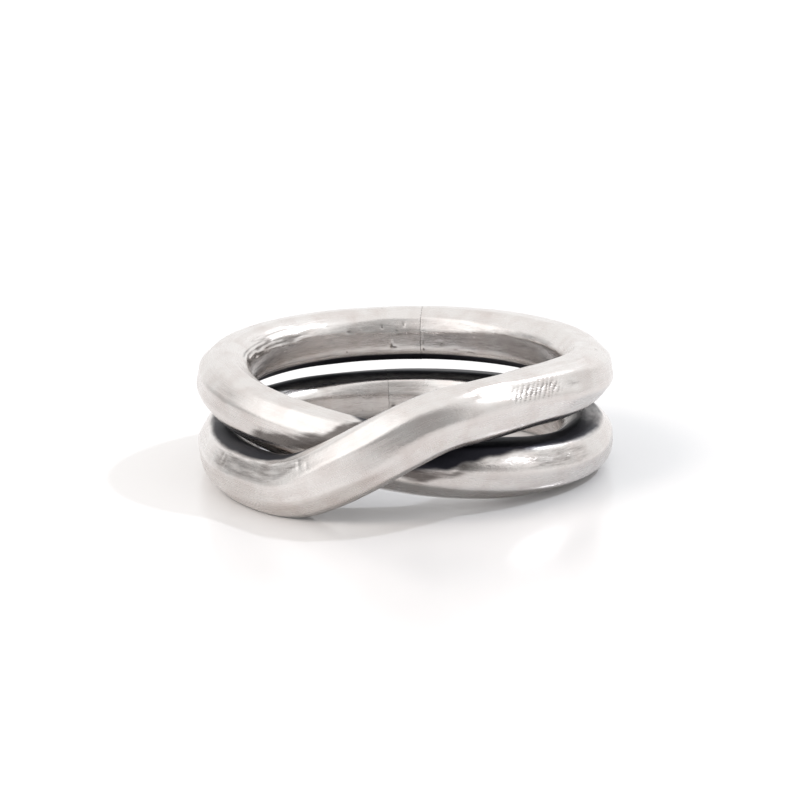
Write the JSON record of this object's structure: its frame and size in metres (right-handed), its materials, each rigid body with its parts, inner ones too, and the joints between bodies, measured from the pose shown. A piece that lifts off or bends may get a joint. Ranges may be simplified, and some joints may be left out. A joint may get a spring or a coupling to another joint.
{
  "type": "puzzle ring",
  "caption": "Crossover puzzle finger ring: interlinked open bands of forged silver strand lie in stacked turns, cross at the front and slide apart.",
  "frame": {"origin": "centre of the finger hole, midway between the middles of the two turns", "axes": "+Z along the finger hole; the crossing faces -Y; +X is on the right with the crossing in front"},
  "size_m": [0.0254, 0.0281, 0.0079],
  "materials": {
    "forged_silver": "satin brushed sterling silver, darkened in the recesses"
  },
  "bodies": {
    "over_band": {"over_band": "forged_silver"},
    "under_band": {"under_band": "forged_silver"}
  },
  "joints": [
    {"name": "pull_apart", "type": "slide", "parent": "over_band", "child": "under_band", "axis": [0, 1, 0], "range_m": [0, 0.011]}
  ]
}
